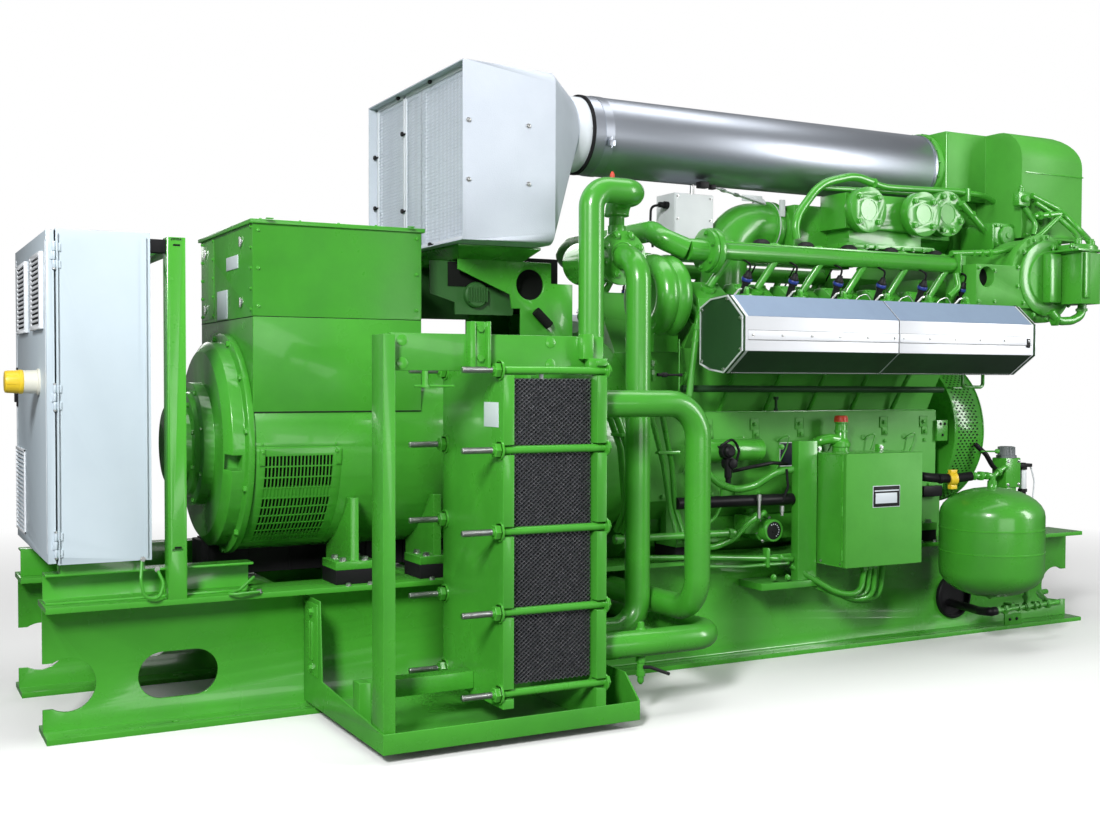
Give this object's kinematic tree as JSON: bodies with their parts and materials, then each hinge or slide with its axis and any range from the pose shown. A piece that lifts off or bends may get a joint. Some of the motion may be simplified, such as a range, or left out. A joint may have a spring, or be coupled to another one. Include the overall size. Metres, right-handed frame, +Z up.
{
  "type": "gas generator set",
  "caption": "Gas engine and generator on a steel base frame, with control cabinet, air intake duct, plate heat exchanger and expansion tank.",
  "frame": {"origin": "centre of the four anchor holes in the base beams, in the plane the base rests on", "axes": "+X along the base from the control cabinet to the free end of the engine, +Y away from the heat exchanger side, +Z up"},
  "size_m": [4.758, 1.989, 2.298],
  "materials": {
    "frame_green": "gloss",
    "engine_green": "gloss",
    "cabinet_grey": "satin",
    "white_plastic": "matte",
    "yellow_plastic": "gloss",
    "black_rubber": "matte",
    "bare_steel": "brushed",
    "silver_paint": "hammered",
    "white_panel": "satin",
    "plate_steel": "satin"
  },
  "bodies": {
    "base": {"base_beam_near": "frame_green", "base_beam_far": "frame_green", "base_cross_members": "frame_green", "cabinet_rails": "frame_green", "cabinet_posts": "frame_green", "cabinet_crossbar": "frame_green", "cabinet_buffers": "black_rubber", "control_cabinet": "cabinet_grey", "generator_housing": "engine_green", "generator_vents": "engine_green", "generator_end_bell": "engine_green", "terminal_box": "engine_green", "terminal_box_hood": "engine_green", "generator_feet": "engine_green", "mounting_pads": "black_rubber", "flywheel_housing": "engine_green", "crankcase": "engine_green", "oil_sump": "engine_green", "cylinder_heads": "engine_green", "rocker_covers": "engine_green", "heat_shields": "bare_steel", "shield_end_caps": "engine_green", "exhaust_ports": "engine_green", "water_rails": "engine_green", "mixture_manifold": "engine_green", "coolant_flange_block": "engine_green", "intake_duct": "bare_steel", "filter_hood": "silver_paint", "filter_panels": "white_panel", "filter_support": "engine_green", "mixer_housing": "engine_green", "intercooler": "engine_green", "breather_filter": "engine_green", "turbocharger": "engine_green", "thermostat_housing": "engine_green", "hx_pressure_plate": "engine_green", "hx_plate_pack": "plate_steel", "hx_frame_plate": "engine_green", "hx_tie_bolts": "bare_steel", "hx_post": "engine_green", "hx_guide_bars": "engine_green", "drip_tray": "engine_green", "engine_water_pipes": "engine_green", "heating_water_pipes": "engine_green", "junction_box": "engine_green", "junction_box_lid": "engine_green", "junction_box_post": "engine_green", "expansion_tank": "engine_green", "tank_pipework": "engine_green", "damper_guard": "engine_green", "starter_motor": "engine_green", "oil_pump": "engine_green"},
    "door": {"cabinet_door": "cabinet_grey", "cabinet_grilles": "white_plastic", "cabinet_switch": "yellow_plastic"}
  },
  "joints": [
    {"name": "cabinet_door_hinge", "type": "hinge", "parent": "base", "child": "door", "pos_m": [-2.268, -0.436, 1.0725], "axis": [0, 0, 1], "range_deg": [0, 110]}
  ]
}
